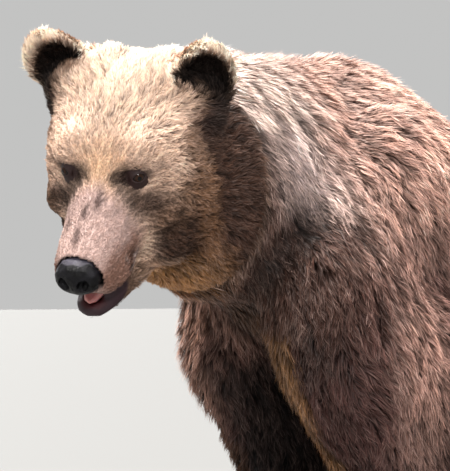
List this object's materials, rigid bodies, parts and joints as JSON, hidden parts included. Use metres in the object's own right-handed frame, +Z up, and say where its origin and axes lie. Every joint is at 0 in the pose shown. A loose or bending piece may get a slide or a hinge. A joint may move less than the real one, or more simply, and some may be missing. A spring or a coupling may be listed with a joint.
{
  "type": "brown bear",
  "caption": "Standing life-size brown bear, head lowered and turned to its left, mouth a little open, on flat soles.",
  "frame": {"origin": "on the floor, under the middle of the whole bear's box", "axes": "+Z up; the body faces -Y, so +Y runs along its length towards the tail; +X is the bear's left"},
  "size_m": [0.6666, 1.767, 1.1194],
  "materials": {
    "coat": "dense fur, golden tan on the head, dark brown on neck sides and legs, pale tips",
    "nose_leather": "moist, pebbled, dark slate",
    "eye_gloss": "wet, dark brown iris",
    "tongue_flesh": "moist pink",
    "horn": "satin dark horn, paler at the tips"
  },
  "bodies": {
    "root": {"claw_fore_left_1": "horn", "claw_fore_left_2": "horn", "claw_fore_left_3": "horn", "claw_fore_left_4": "horn", "claw_fore_left_5": "horn", "claw_fore_right_1": "horn", "claw_fore_right_2": "horn", "claw_fore_right_3": "horn", "claw_fore_right_4": "horn", "claw_fore_right_5": "horn", "claw_hind_left_1": "horn", "claw_hind_left_2": "horn", "claw_hind_left_3": "horn", "claw_hind_left_4": "horn", "claw_hind_left_5": "horn", "claw_hind_right_1": "horn", "claw_hind_right_2": "horn", "claw_hind_right_3": "horn", "claw_hind_right_4": "horn", "claw_hind_right_5": "horn", "ear_left": "coat", "ear_right": "coat", "eye_left": "eye_gloss", "eye_right": "eye_gloss", "forearm_left": "coat", "forearm_right": "coat", "forepaw_left": "coat", "forepaw_right": "coat", "head": "coat", "hindpaw_left": "coat", "hindpaw_right": "coat", "jaw_lower": "coat", "neck": "coat", "nose_pad": "nose_leather", "shank_left": "coat", "shank_right": "coat", "tail": "coat", "thigh_left": "coat", "thigh_right": "coat", "tongue": "tongue_flesh", "trunk": "coat", "upper_arm_left": "coat", "upper_arm_right": "coat"}
  },
  "joints": []
}
